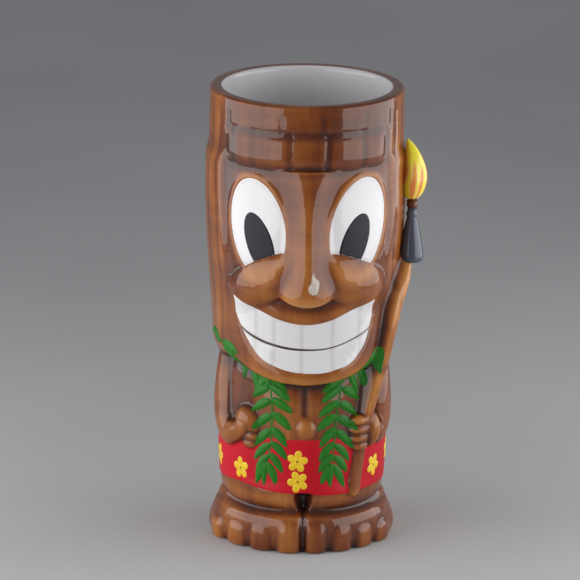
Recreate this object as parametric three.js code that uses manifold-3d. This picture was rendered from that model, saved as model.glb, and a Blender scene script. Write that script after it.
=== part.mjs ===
// A ceramic tiki mug: a slip-cast cup shaped as a standing carved figure, with its raised clay
// parts and its coloured enamels.
// Millimetres, +Z up. The origin is the centre of the flat underside and the figure faces -Y.
// Left and right are the viewer's: left is -X, and right, the side of the torch, is +X.
import * as THREE from 'three';
import { mergeVertices } from 'three/addons/utils/BufferGeometryUtils.js';
import Module from 'manifold-3d';

const wasm = await Module();
wasm.setup();

// ---- Driving dimensions -------------------------------------------------------------------

const HEIGHT = 180;
const HEAD_RADIUS = 37.8;
const RIM_WALL = 4.9;
const TORSO_RADIUS = 32.4;
const NECK_RADIUS = 31.4;
const BASE_RADIUS = 33.5;
const TORSO_WALL = 5;
const FLOOR_THICKNESS = 6;

// Heights of the figure's landmarks
const FOOT_TOP = 14;
const HEM = 23.5;
const WAIST = 45;
const SHOULDER = 62;
const NECK = 68;
const CHIN = 69;
const JAW = 80;
const LIP = 98;
const BROW = 115;
const BAND_BOTTOM = 155.5;
const BAND_TOP = 167.5;

// Thicknesses above the clay body. GAP is the joint line between pieces that touch.
const GAP = 0.3;
const ENAMEL = 0.6;
const TOOTH = 1.0;
const BAND = 0.9;
const JAW_RAISE = 1.3;

const ROUND_SEGMENTS = 32;
const FRONT = 60;

// ---- Solids -------------------------------------------------------------------------------

// A closed three.js geometry as a manifold-3d solid with its faces pointing out.
function solidOf(geometry) {
  const bare = geometry.clone();
  bare.deleteAttribute('normal');
  bare.deleteAttribute('uv');
  const merged = mergeVertices(bare, 1e-3);
  const mesh = new wasm.Mesh({
    numProp: 3,
    vertProperties: merged.attributes.position.array,
    triVerts: new Uint32Array(merged.index.array),
  });
  return new wasm.Manifold(mesh);
}

function geometryOf(solid) {
  const { vertProperties, triVerts, numProp } = solid.getMesh();
  const positions = new Float32Array(triVerts.length * 3);
  triVerts.forEach((vertex, corner) => {
    for (let k = 0; k < 3; k += 1) {
      positions[corner * 3 + k] = vertProperties[vertex * numProp + k];
    }
  });
  const geometry = new THREE.BufferGeometry();
  geometry.setAttribute('position', new THREE.BufferAttribute(positions, 3));
  geometry.computeVertexNormals();
  return geometry;
}

const join = (...solids) => solids.reduce((sum, solid) => sum.add(solid));

// What is left of a solid once its neighbours have cut it, without loose crumbs.
function cut(solid, ...tools) {
  const pieces = solid.subtract(join(...tools)).decompose();
  return pieces.sort((a, b) => b.volume() - a.volume())[0];
}

// A point at an angle round the mug from the front, in degrees, a height and a radius.
function at(angle, height, radius) {
  const turn = THREE.MathUtils.degToRad(angle);
  return new THREE.Vector3(radius * Math.sin(turn), -radius * Math.cos(turn), height);
}

// A solid of revolution about Z from [radius, height] pairs, run from bottom to top outside.
function turned(profile) {
  const points = profile.map(([radius, height]) => new THREE.Vector2(radius, height));
  return solidOf(new THREE.LatheGeometry(points, ROUND_SEGMENTS).rotateX(Math.PI / 2));
}

// A flat outline seen from the front, x across and y up, run straight through the front half.
function fromFront(shape, curveSegments = 8) {
  const options = { depth: FRONT, bevelEnabled: false, curveSegments };
  return solidOf(new THREE.ExtrudeGeometry(shape, options).rotateX(Math.PI / 2));
}

function ball([rx, ry, rz], centre, lean = 0) {
  const geometry = new THREE.SphereGeometry(1, 10, 7);
  geometry.scale(rx, ry, rz).rotateY(THREE.MathUtils.degToRad(lean));
  return solidOf(geometry.translate(centre.x, centre.y, centre.z));
}

// A round bar along a smooth curve through the points.
function bar(points, radius, steps = 10, sides = 8) {
  const section = new THREE.Shape().absarc(0, 0, radius, 0, Math.PI * 2);
  const extrudePath = new THREE.CatmullRomCurve3(points);
  const options = { extrudePath, steps, curveSegments: sides, bevelEnabled: false };
  return solidOf(new THREE.ExtrudeGeometry(section, options));
}

// ---- The clay body ------------------------------------------------------------------------

const OUTSIDE = [
  [BASE_RADIUS - 1, 0],
  [BASE_RADIUS, 1],
  [BASE_RADIUS - 0.3, FOOT_TOP - 2],
  [TORSO_RADIUS - 0.8, HEM - 5],
  [TORSO_RADIUS, HEM + 12],
  [TORSO_RADIUS, WAIST + 5],
  [NECK_RADIUS, SHOULDER],
  [NECK_RADIUS, NECK - 1],
  [HEAD_RADIUS - 3, NECK + 4],
  [HEAD_RADIUS - 1.6, JAW],
  [HEAD_RADIUS - 0.8, JAW + 15],
  [HEAD_RADIUS, BROW],
  [HEAD_RADIUS, HEIGHT - 1.2],
  [HEAD_RADIUS - 0.8, HEIGHT],
];

const INSIDE_RADIUS = HEAD_RADIUS - RIM_WALL;
const WELL_RADIUS = TORSO_RADIUS - TORSO_WALL;
const INSIDE = [
  [INSIDE_RADIUS + 0.8, HEIGHT],
  [INSIDE_RADIUS, HEIGHT - 1],
  [INSIDE_RADIUS, BROW],
  [INSIDE_RADIUS - 1.6, JAW + 6],
  [WELL_RADIUS, SHOULDER],
  [WELL_RADIUS, FLOOR_THICKNESS + 4],
  [WELL_RADIUS - 4, FLOOR_THICKNESS],
];

function outerRadius(height) {
  const next = OUTSIDE.findIndex(([, z]) => z >= height);
  if (next <= 0) return OUTSIDE[0][0];
  const [r0, z0] = OUTSIDE[next - 1];
  const [r1, z1] = OUTSIDE[next];
  return THREE.MathUtils.mapLinear(height, z0, z1, r0, r1);
}

// The body's outside grown by an offset, as a full solid.
function grownBody(offset) {
  const wall = OUTSIDE.map(([radius, height]) => [radius + offset, height]);
  return turned([[0, -1], [BASE_RADIUS - 1 + offset, -1], ...wall, [0, HEIGHT]]);
}

// A skin over the body between two offsets from it, from one height to another.
function skin(inner, outer, low = 1, high = HEIGHT - 2) {
  const between = OUTSIDE.filter(([, z]) => z > low && z < high);
  const wall = [[outerRadius(low), low], ...between, [outerRadius(high), high]];
  const outside = wall.map(([radius, height]) => [radius + outer, height]);
  const inside = wall.map(([radius, height]) => [radius + inner, height]).reverse();
  return turned([...outside, ...inside, outside[0]]);
}

const bodyClearance = grownBody(GAP);

function mugShell() {
  return turned([[0, 0], ...OUTSIDE, ...INSIDE, [0, FLOOR_THICKNESS]]);
}

// The white glaze that lines the cup.
function interiorGlaze() {
  const wall = INSIDE.slice(1);
  const against = wall.map(([radius, height]) => [radius - GAP, height + GAP]);
  const wet = wall.map(([radius, height]) => [radius - GAP - ENAMEL, height + GAP + ENAMEL]);
  wet[0][1] = against[0][1];
  const bottom = FLOOR_THICKNESS + GAP;
  return turned([[0, bottom], ...against.reverse(), ...wet, [0, bottom + ENAMEL]]);
}

// ---- The face -----------------------------------------------------------------------------

// The nose, each part grown by an allowance where it cuts its neighbours.
function nose(grow = 0) {
  const bridge = new THREE.CylinderGeometry(3 + grow, 6 + grow, 48 + grow * 2, 12);
  bridge.rotateX(Math.PI / 2 + 0.08).translate(0, -HEAD_RADIUS, 130);
  return join(
    solidOf(bridge),
    ball([8.5 + grow, 7 + grow, 6 + grow], at(0, 107, HEAD_RADIUS + 0.8)),
    ball([4.8 + grow, 4.4 + grow, 4.4 + grow], at(-11.5, 105.8, HEAD_RADIUS + 0.4)),
    ball([4.8 + grow, 4.4 + grow, 4.4 + grow], at(11.5, 105.8, HEAD_RADIUS + 0.4)),
  );
}

// An apple cheek, leaning up towards the nose.
function cheek(side, grow = 0) {
  const size = [11.4 + grow, 5 + grow, 8.4 + grow];
  return ball(size, at(side * 28, 109.5, HEAD_RADIUS), side * 20);
}

// An upright oval whose top leans outwards.
function ovalOutline(side, x, height, halfWidth, halfHeight, lean) {
  const turn = THREE.MathUtils.degToRad(-side * lean);
  const shape = new THREE.Shape();
  shape.absellipse(side * x, height, halfWidth, halfHeight, 0, Math.PI * 2, false, turn);
  return shape;
}

const eyeOutline = (side) => ovalOutline(side, 18.6, 131.5, 10.6, 19.4, 6);
const pupilOutline = (side) => ovalOutline(side, 17.9, 126.5, 5, 11.6, 18);

// The open smile, grown on every side by an allowance.
function mouthOutline(grow = 0) {
  const corner = 28 + grow;
  const cornerHeight = 102.5;
  const shape = new THREE.Shape();
  shape.moveTo(-corner, cornerHeight + grow);
  shape.quadraticCurveTo(0, 83.5 + grow, corner, cornerHeight + grow);
  shape.bezierCurveTo(corner - 3, 62.9 - grow, 3 - corner, 62.9 - grow, -corner, cornerHeight + grow);
  return shape;
}

// The half of the front above (side 1) or below (side -1) the line where the teeth meet.
function biteHalf(side) {
  const width = 40;
  const edge = side * GAP;
  const shape = new THREE.Shape();
  shape.moveTo(-width, LIP + edge);
  shape.quadraticCurveTo(0, CHIN - 0.5 + edge, width, LIP + edge);
  shape.lineTo(width, LIP + side * 40);
  shape.lineTo(-width, LIP + side * 40);
  return fromFront(shape, 16);
}

function jawOutline() {
  const corner = 32.5;
  const shape = new THREE.Shape();
  shape.moveTo(-corner, LIP);
  shape.bezierCurveTo(4 - corner, CHIN - 9.6, corner - 4, CHIN - 9.6, corner, LIP);
  shape.quadraticCurveTo(0, LIP - 12, -corner, LIP);
  return shape;
}

const faceCutters = [nose(GAP), cheek(-1, GAP), cheek(1, GAP)];

const eyeWhite = (side) =>
  cut(fromFront(eyeOutline(side)).intersect(skin(GAP, ENAMEL)), ...faceCutters);

const pupil = (side) =>
  cut(fromFront(pupilOutline(side)).intersect(skin(ENAMEL + GAP, ENAMEL * 2)), ...faceCutters);

function teeth(side) {
  const row = fromFront(mouthOutline()).intersect(biteHalf(side));
  return cut(row.intersect(skin(GAP, TOOTH)), ...faceCutters);
}

function jaw() {
  const radius = HEAD_RADIUS + JAW_RAISE - 1;
  const wall = [[radius - 2, CHIN], [radius, CHIN + 4], [radius, LIP]];
  const front = turned([[0, CHIN], ...wall, [0, LIP]]);
  const chin = fromFront(jawOutline(), 14).intersect(front);
  return cut(chin, bodyClearance, fromFront(mouthOutline(GAP), 14), ...faceCutters);
}

// ---- Arms, hands and torch ----------------------------------------------------------------

const ARM_RADIUS = 4.9;
const ARM_LINES = {
  left: [at(-82, 64, 29), at(-79, 55, 29.8), at(-74, 46.5, 30.2), at(-62, 41.5, 30.4),
    at(-50, 42.5, 31)],
  right: [at(82, 64, 29), at(79, 55, 29.8), at(76, 47.5, 30.2), at(68, 43.5, 30.4),
    at(60, 44.5, 31)],
};

// From the shoulder down to the elbow and forward to the wrist.
function arm(label, grow = 0) {
  const line = ARM_LINES[label];
  const radius = ARM_RADIUS + grow;
  const ends = [line[0], line[4]].map((end) => ball([radius, radius, radius], end));
  return join(bar(line, radius), ...ends);
}

const leftHand = (grow = 0) =>
  ball([4.8 + grow, 4.2 + grow, 7.4 + grow], at(-38.5, 50.5, 33));

const TORCH_ANGLE = 80;
const TORCH_RADIUS = 42;
const CANISTER_BOTTOM = 111.3;
const CANISTER_HEIGHT = 21;

function placedOnTorch(solid, height, lean = 0) {
  const foot = at(TORCH_ANGLE, height, TORCH_RADIUS);
  return solid.rotate([0, lean, 0]).translate([foot.x, foot.y, foot.z]);
}

const POLE_RADIUS = 2.7;
const POLE_LINE = [
  at(34.8, 22.5, 33.2),
  at(38.5, 36, 34),
  at(47, 55, 34.4),
  at(54, 70, 36.6),
  at(60, 86, 38.2),
  at(67, 98, 38.8),
  at(78, 110.4, 40.8),
];

function torchPole(grow = 0) {
  const room = turned([[0, -GAP], [9, -GAP], [9, CANISTER_HEIGHT], [0, CANISTER_HEIGHT]]);
  const pole = bar(POLE_LINE, POLE_RADIUS + grow, 14);
  return pole.subtract(placedOnTorch(room, CANISTER_BOTTOM));
}

// The back of the hand beside the pole, with four fingers closed over it.
function rightHand(grow = 0) {
  const back = ball([4.6 + grow, 4.9 + grow, 6.8 + grow], at(51.5, 47.5, 34));
  const finger = [4.8 + grow, 2.5 + grow, 2 + grow];
  const fingers = [52.7, 49.2, 45.7, 42.2].map((height) => ball(finger, at(43, height, 37.6)));
  return join(back, ...fingers).subtract(torchPole(GAP));
}

function torchCanister() {
  const bell = turned([[0, 0], [3.4, 0], [4.6, 1.2], [4.8, 3.4], [4.2, 8], [3, 15],
    [2.2, CANISTER_HEIGHT], [0, CANISTER_HEIGHT]]);
  return cut(placedOnTorch(bell, CANISTER_BOTTOM), bodyClearance);
}

const FLAME_LEAN = -4;
const WICK_RADIUS = 1.8;
const WICK_HEIGHT = 2.6;

function torchWick() {
  const stub = turned([[0, 0], [WICK_RADIUS, 0], [WICK_RADIUS, WICK_HEIGHT], [0, WICK_HEIGHT]]);
  return placedOnTorch(stub, CANISTER_BOTTOM + CANISTER_HEIGHT + GAP);
}

function torchFlame() {
  const tongue = turned([[0, 0], [2, 0.2], [4.1, 4], [4.8, 9], [4.3, 14], [2.7, 20],
    [0.9, 24.6], [0, 25.2]]);
  const foot = CANISTER_BOTTOM + CANISTER_HEIGHT + WICK_HEIGHT + GAP * 3;
  const bandClearance = skin(0, BAND + GAP, BAND_BOTTOM - GAP, BAND_TOP + GAP);
  return cut(placedOnTorch(tongue, foot, FLAME_LEAN), bodyClearance, bandClearance);
}

// ---- Clothes, leaves and flowers ----------------------------------------------------------

const gripCutters = [leftHand(GAP), rightHand(GAP), torchPole(GAP)];
const limbCutters = [arm('left', GAP), arm('right', GAP), ...gripCutters];

function sarong() {
  const cloth = skin(GAP, ENAMEL, HEM, WAIST);
  return cut(cloth, ...limbCutters);
}

// A leaflet from its foot to its tip, in the front view.
function leaflet(x, z, angle, length, width) {
  const turn = THREE.MathUtils.degToRad(angle);
  const along = new THREE.Vector2(Math.cos(turn), Math.sin(turn));
  const across = new THREE.Vector2(-along.y, along.x);
  const place = (a, b) => [x + along.x * a + across.x * b, z + along.y * a + across.y * b];
  const shape = new THREE.Shape();
  shape.moveTo(...place(-0.4, 0));
  shape.quadraticCurveTo(...place(length * 0.4, width), ...place(length, 0));
  shape.quadraticCurveTo(...place(length * 0.4, -width), ...place(-0.4, 0));
  return fromFront(shape, 3);
}

// The stalk that carries the leaflets, as a narrow strip along the points.
function stalk(points, halfWidth = 0.6) {
  const line = points.map(([x, z]) => new THREE.Vector2(x, z));
  const sideways = line.map((point, index) => {
    const before = line[Math.max(index - 1, 0)];
    const after = line[Math.min(index + 1, line.length - 1)];
    const along = after.clone().sub(before).normalize();
    return new THREE.Vector2(-along.y, along.x).multiplyScalar(halfWidth);
  });
  const one = line.map((point, index) => point.clone().add(sideways[index]));
  const other = line.map((point, index) => point.clone().sub(sideways[index])).reverse();
  return fromFront(new THREE.Shape([...one, ...other]));
}

// Leaflets painted over everything they cross: the chest, and the cloth below the waist.
function painted(leaves, cutters) {
  const overCloth = skin(0, ENAMEL + GAP, HEM, WAIST + GAP);
  return cut(leaves.intersect(skin(GAP, ENAMEL * 2)), overCloth, ...cutters);
}

const jawSpace = [[HEAD_RADIUS + 2, CHIN - GAP], [HEAD_RADIUS + 2, LIP]];
const jawClearance = fromFront(jawOutline()).intersect(
  turned([[0, CHIN - GAP], ...jawSpace, [0, LIP]]),
);

const STRAND_PAIRS = 7;
const STRAND_TOP = 65;
const STRAND_FOOT = 36;

// A hanging garland: leaflets in pairs down a stalk, and one more at its foot.
function leiStrand(side) {
  const x = side * 13.4;
  const parts = [stalk([[x, STRAND_TOP], [x - side * 0.6, 50], [x + side * 0.8, STRAND_FOOT]])];
  for (let pair = 0; pair < STRAND_PAIRS; pair += 1) {
    const height = THREE.MathUtils.lerp(STRAND_TOP - 3, STRAND_FOOT + 1, pair / (STRAND_PAIRS - 1));
    const droop = 24 + pair * 5;
    parts.push(leaflet(x, height, -droop, 8.2, 2.4));
    parts.push(leaflet(x, height, 180 + droop, 7.2, 2.4));
  }
  parts.push(leaflet(x, STRAND_FOOT + 1, -88, 8.6, 2.4));
  return painted(join(...parts), [...limbCutters, jawClearance]);
}

const COLLAR_LINES = {
  left: [[-33.6, 82], [-30.6, 76.5], [-27, 71.5], [-23, 68.4]],
  right: [[27.6, 77], [25.8, 72.6], [22.8, 68.4]],
};

// The leaves that follow the jaw round to the side of the head.
function leiCollar(label, side) {
  const line = COLLAR_LINES[label];
  const leaves = line.map(([x, z]) => leaflet(x, z, -90 + side * 12, 5.6, 2));
  return painted(join(stalk(line), ...leaves), [...limbCutters, jawClearance]);
}

// A five-petalled flower on the cloth at an angle round the mug.
function clothFlower(angle, height) {
  const outline = new THREE.Shape();
  const steps = 20;
  for (let step = 0; step < steps; step += 1) {
    const turn = (step / steps) * Math.PI * 2;
    const radius = 3.3 + 1.1 * Math.sin(5 * turn);
    const point = [radius * Math.cos(turn), height + radius * Math.sin(turn)];
    if (step === 0) outline.moveTo(...point);
    else outline.lineTo(...point);
  }
  const petals = fromFront(outline).intersect(skin(ENAMEL + GAP, ENAMEL * 2));
  return petals.rotate([0, 0, angle]);
}

const FLOWERS = [
  [-4, 37.4], [-4, 28.6], [-48, 30], [57, 31], [-79, 32], [84, 34],
  [116, 30], [148, 37], [180, 30], [-148, 36], [-114, 30],
];

// ---- Torso and feet -----------------------------------------------------------------------

const bellyKnot = () => cut(ball([3.7, 3, 3.4], at(0, 49.6, TORSO_RADIUS)), bodyClearance);

// Angle from the front, half width and half height of each toe, from the big toe outwards.
const TOES = [
  [9.2, 5, 7.2],
  [27.6, 4.4, 6.2],
  [45.6, 5, 5.8],
  [64.6, 5, 5],
];
const FOOT_ENDS = [0.5, 96];

// A slice of the space round the mug between two angles from the front.
function slice([from, to]) {
  const middle = (from + to) / 2;
  const rays = [from, middle, to].map((angle) => at(angle, 0, FRONT * 1.5));
  const corners = rays.map(({ x, y }) => new THREE.Vector2(x, y));
  const outline = new THREE.Shape([new THREE.Vector2(0, 0), ...corners]);
  const options = { depth: FRONT, bevelEnabled: false };
  return solidOf(new THREE.ExtrudeGeometry(outline, options));
}

function foot(side) {
  const reach = BASE_RADIUS + 2.6;
  const instep = turned([[0, 0], [reach - 1.2, 0], [reach - 0.8, 3], [reach - 1.4, 8],
    [BASE_RADIUS + 0.6, FOOT_TOP - 2], [0, FOOT_TOP]]);
  const toes = TOES.map(([angle, halfWidth, halfHeight]) => {
    const toe = ball([halfWidth, 5, halfHeight], at(0, halfHeight - 0.6, reach - 5.2));
    return toe.rotate([0, 0, side * angle]);
  });
  const ground = turned([[0, 0], [FRONT, 0], [FRONT, FRONT], [0, FRONT]]);
  const own = slice(FOOT_ENDS.map((angle) => side * angle));
  return cut(join(instep, ...toes).intersect(ground).intersect(own), bodyClearance);
}

// ---- Assembly -----------------------------------------------------------------------------

function finish(color, roughness) {
  return new THREE.MeshStandardMaterial({ color, roughness, metalness: 0 });
}

const brownGlaze = finish(0x9a5526, 0.22);
const whiteGlaze = finish(0xeeece8, 0.2);
const blackEnamel = finish(0x24262b, 0.25);
const greenEnamel = finish(0x2c8a2f, 0.45);
const redEnamel = finish(0xb5202c, 0.45);
const yellowEnamel = finish(0xf0c81e, 0.4);

const mug = new THREE.Group();

function place(name, solid, material) {
  const mesh = new THREE.Mesh(geometryOf(solid), material);
  mesh.name = name;
  mug.add(mesh);
}

place('mug_shell', mugShell(), brownGlaze);
place('interior_glaze', interiorGlaze(), whiteGlaze);
place('headband', skin(GAP, BAND, BAND_BOTTOM, BAND_TOP), brownGlaze);
place('nose', cut(nose(), bodyClearance), brownGlaze);
place('jaw', jaw(), brownGlaze);
place('upper_teeth', teeth(1), whiteGlaze);
place('lower_teeth', teeth(-1), whiteGlaze);
place('belly_knot', bellyKnot(), brownGlaze);
place('left_hand', cut(leftHand(), bodyClearance), brownGlaze);
place('right_hand', cut(rightHand(), bodyClearance), brownGlaze);
place('torch_pole', cut(torchPole(), bodyClearance), brownGlaze);
place('torch_canister', torchCanister(), blackEnamel);
place('torch_wick', torchWick(), brownGlaze);
place('torch_flame', torchFlame(), yellowEnamel);
place('sarong', sarong(), redEnamel);

for (const [label, side] of [['left', -1], ['right', 1]]) {
  place(`${label}_eye_white`, eyeWhite(side), whiteGlaze);
  place(`${label}_pupil`, pupil(side), blackEnamel);
  place(`${label}_cheek`, cut(cheek(side), bodyClearance, nose(GAP)), brownGlaze);
  place(`${label}_arm`, cut(arm(label), bodyClearance, ...gripCutters), brownGlaze);
  place(`${label}_foot`, foot(side), brownGlaze);
  place(`lei_collar_${label}`, leiCollar(label, side), greenEnamel);
  place(`lei_strand_${label}`, leiStrand(side), greenEnamel);
}

FLOWERS.forEach(([angle, height], index) => {
  place(`sarong_flower_${index + 1}`, clothFlower(angle, height), yellowEnamel);
});

export default mug;
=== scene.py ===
"""A glazed ceramic tiki mug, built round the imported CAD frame.

The clay is one radius for every angle and height round the mug: the cast cup, with carved
grooves and raised forms blended onto it. Each raised form, and each fired enamel, is a piece of
its own that follows that radius. Shapes are worked out in millimetres and degrees and the meshes
are made in metres. Angles go round from the front (-Y), positive towards the torch (+X).
"""

import math

import bpy
import numpy as np
from mathutils import Matrix, Vector


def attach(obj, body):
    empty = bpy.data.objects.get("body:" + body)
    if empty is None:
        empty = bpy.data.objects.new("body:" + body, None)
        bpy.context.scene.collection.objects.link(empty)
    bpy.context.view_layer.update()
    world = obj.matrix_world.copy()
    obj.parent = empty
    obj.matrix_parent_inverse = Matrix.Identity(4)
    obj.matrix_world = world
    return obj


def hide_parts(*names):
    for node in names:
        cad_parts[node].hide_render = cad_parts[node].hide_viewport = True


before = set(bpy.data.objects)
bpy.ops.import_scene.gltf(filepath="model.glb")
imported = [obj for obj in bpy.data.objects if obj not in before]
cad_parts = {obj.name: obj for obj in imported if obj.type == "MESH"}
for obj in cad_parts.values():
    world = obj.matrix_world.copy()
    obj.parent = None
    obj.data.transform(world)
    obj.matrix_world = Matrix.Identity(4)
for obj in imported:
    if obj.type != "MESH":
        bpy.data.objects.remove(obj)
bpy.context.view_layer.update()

# ---- Driving dimensions -------------------------------------------------------------------

MM = 0.001
HEIGHT = 180.0
HEAD_RADIUS = 37.8
RIM_WALL = 4.9
RIM_ROUND = 1.3
ARC_RADIUS = 36.0      # radius at which angles are turned into distances
SUNK = -60.0           # added to a foot's radius on the other side of the mug
ABSENT = 6.0           # radius of a form outside its window
WINDOW_ROOM = 3        # degrees and millimetres that a form is worked out past its window

# Heights of the landmarks
HEM = 23.8
WAIST = 45.6
BROW = 155.5
BAND_TOP = 168.0
LOCK_TOP = 156.5

ENAMEL = 0.28
TOOTH = 0.35
SHELL_STEP = 0.72
RELIEF_STEP = 0.42
FINE_STEP = 0.3
FINE_FORMS = ("nose", "left_hand", "right_hand")
ENAMEL_STEP = 0.3
OVERLAP = 0.25         # how far a form still shows below its neighbours
DIP_SLOPE = 0.8        # a form goes down this steeply where another one is over it
MAX_DIP = 1.1
FORM_EDGE = 1.2        # how far a form goes on under its neighbours
FORM_DEPTH = 2.2
ENAMEL_EDGE = 0.7      # how far an enamel goes on, sunk into the clay, past its outline
ENAMEL_DEPTH = 1.0
AXIS_RADIUS = 0.02     # a turned profile stops this close to its axis

# Radius of the cup at the side of the head, and of the torso and base, by height
HEAD_PROFILE = [(60, 35.6), (84, 36.0), (95, 36.5), (103, 37.0), (115, 37.5), (128, 37.8),
                (HEIGHT, HEAD_RADIUS)]
TORSO_PROFILE = [(0, 33.2), (12, 32.6), (17, 31.2), (21, 31.9), (28, 32.5), (50, 32.4), (62, 31.5),
                 (70, 30.9), (78, 29)]
JAW_LINE = [(0, 68.4), (14, 69), (30, 70.6), (42, 72), (60, 73.4), (80, 72.4), (180, 72.4)]
JAW_ROUND = [(0, 3.2), (30, 4), (60, 7), (80, 9), (180, 9)]


# ---- Small curves and blends --------------------------------------------------------------

def along(points, x):
    """The smooth value at x of a curve through (x, value) points."""
    xs, values = np.array(points, float).T
    slopes = np.gradient(values, xs)
    x = np.clip(x, xs[0], xs[-1])
    i = np.clip(np.searchsorted(xs, x, "right") - 1, 0, len(xs) - 2)
    step = xs[i + 1] - xs[i]
    t = (x - xs[i]) / step
    rise = values[i] * (1 + 2 * t) + slopes[i] * step * t
    fall = values[i + 1] * (3 - 2 * t) + slopes[i + 1] * step * (t - 1)
    return rise * (1 - t) ** 2 + fall * t**2


def ramp(start, end, x):
    t = np.clip((x - start) / (end - start), 0, 1)
    return t * t * (3 - 2 * t)


def bell(distance, reach):
    t = np.clip(np.abs(distance) / reach, 0, 1)
    return (1 - t * t) ** 2


def blend_max(a, b, width):
    """The larger of two radii, with a fillet where they are close."""
    h = np.clip(0.5 + 0.5 * (a - b) / width, 0, 1)
    return b + (a - b) * h + width * h * (1 - h)


def across(theta, angle, radius=ARC_RADIUS):
    """Distance round the mug from an angle, the short way."""
    return np.radians((theta - angle + 180) % 360 - 180) * radius


def smooth_line(points, count=26):
    """Points on a smooth curve through the given ones."""
    p = np.array(points, float)
    p = np.vstack([2 * p[0] - p[1], p, 2 * p[-1] - p[-2]])
    t = np.linspace(0, len(p) - 3.000001, count)
    i = t.astype(int)
    f = (t - i)[:, None]
    a, b, c, d = p[i], p[i + 1], p[i + 2], p[i + 3]
    return 0.5 * (2 * b + (c - a) * f + (2 * a - 5 * b + 4 * c - d) * f**2
                  + (3 * b - a - 3 * c + d) * f**3)


def to_line(theta, height, points):
    """Distance to a curve of (angle, height, ...) points, and the curve's other values there."""
    line = smooth_line(points)
    s, z = across(theta, 0), height
    x = np.column_stack([np.radians(line[:, 0]) * ARC_RADIUS, line[:, 1:]])
    best = np.full(np.shape(theta), 1e9)
    extra = [np.zeros(np.shape(theta)) for _ in range(line.shape[1] - 2)]
    for p, q in zip(x[:-1], x[1:]):
        d = q - p
        t = np.clip(((s - p[0]) * d[0] + (z - p[1]) * d[1]) / (d[0] ** 2 + d[1] ** 2), 0, 1)
        distance = np.hypot(s - p[0] - t * d[0], z - p[1] - t * d[1])
        nearer = distance < best
        best = np.where(nearer, distance, best)
        for k, values in enumerate(extra):
            extra[k] = np.where(nearer, p[2 + k] + t * d[2 + k], values)
    return (best, *extra)


# ---- Clay forms: each gives the radius of its surface -------------------------------------

def ball(theta, height, angle, z, centre, half_width, half_height, rise, lean=0.0, power=2.0):
    """A rounded lump whose middle stands at the centre radius plus its rise."""
    s, up, turn = across(theta, angle), height - z, math.radians(lean)
    a = np.abs(s * math.cos(turn) + up * math.sin(turn)) / half_width
    b = np.abs(up * math.cos(turn) - s * math.sin(turn)) / half_height
    inside = 1 - a**power - b**power
    top = centre + rise * np.sqrt(np.clip(inside, 0, 1))
    return np.where(inside > 0, top, centre + 6 * np.clip(inside, -6, 0))


FLANK_SLOPE = 2.2      # steepest side of a bar that a lattice can follow


def bar(theta, height, points):
    """A round bar along (angle, height, centre radius, own radius) points, with straight flanks."""
    distance, centre, size = to_line(theta, height, points)
    crown = np.sqrt(np.clip(size**2 - distance**2, 0, None))
    flank = FLANK_SLOPE * (size - distance)
    return centre + np.where(distance < size, np.minimum(crown, flank), flank)


def under_chin(theta, height):
    """How far the head's lower edge is rounded away into the neck."""
    edge, rounding = along(JAW_LINE, np.abs(theta)), along(JAW_ROUND, np.abs(theta))
    t = np.clip((height - edge) / rounding, 0, 1)
    away = rounding * (1 - np.sqrt(np.clip(1 - (1 - t) ** 2, 0, 1)))
    return away + 2.5 * np.clip(edge - height, 0, 9)


def head(theta, height):
    """The head, with its side locks standing a little proud, rounded under into the neck."""
    side = ramp(54, 62, np.abs(theta))
    locks = 1.35 * side * ramp(84, 140, height) * (1 - ramp(LOCK_TOP - 4, LOCK_TOP + 3, height))
    return along(HEAD_PROFILE, height) + locks - under_chin(theta, height)


def torso(theta, height):
    """The chest, the thighs under the cloth and the gap between them."""
    radius = along(TORSO_PROFILE, height) + 6 * np.clip(78 - height, -5, 0)
    front = 1 - ramp(40, 75, np.abs(theta))
    for side in (-1, 1):
        s = across(theta, side * 17)
        radius = radius + 0.9 * front * bell(s, 11) * bell(height - 61, 8)
        radius = radius + 1.5 * bell(across(theta, side * 26), 19) * bell(height - 21.5, 7.5)
    gap = 2.2 + 2.6 * ramp(14, 21, height)
    depth = 3.6 * ramp(10, 15, height) * (1 - ramp(HEM - 1.2, HEM + 0.2, height))
    return radius - depth * bell(across(theta, 0), gap) ** 0.7


def cup(theta, height):
    lip = bell(to_line(theta, height, UPPER_LIP)[0], 3.6)
    body = blend_max(head(theta, height) + 0.8 * lip, torso(theta, height), 1.2)
    rims = sum(0.45 * bell(eye_depth(theta, height, side) + 1.0, 2.2) for side in (-1, 1))
    return body + rims


BAND = 0.65


def headband(theta, height):
    """Carved boards round the forehead, lower at the sides and back."""
    front = 1 - ramp(46, 56, np.abs(theta + 1))
    edge = np.minimum(height - BROW - 2.2 * (1 - front), BAND_TOP - height)
    raised = (0.05 + (BAND - 0.05) * front) * ramp(-1.2, 3.6, edge)
    bulge = 0.3 * front * np.clip(1 - ((height - 161.7) / 6.5) ** 2, 0, 1)
    return along(HEAD_PROFILE, height) - 0.12 + raised + bulge + 2.5 * np.clip(edge + 0.8, -4, 0)


# Ridge of the nose by height: how far it stands out, and its half width
NOSE_RISE = [(97, 7.6), (103, 7.8), (107, 7.8), (112, 7.2), (121, 5.9), (131, 4.7), (141, 3.7),
             (150, 2.9), (157, 2.2)]
NOSE_WIDTH = [(97, 12.9), (103, 12.9), (107, 11.8), (112, 10.7), (121, 9.6), (131, 8.6), (141, 8.6),
              (150, 10), (157, 12)]


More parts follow.
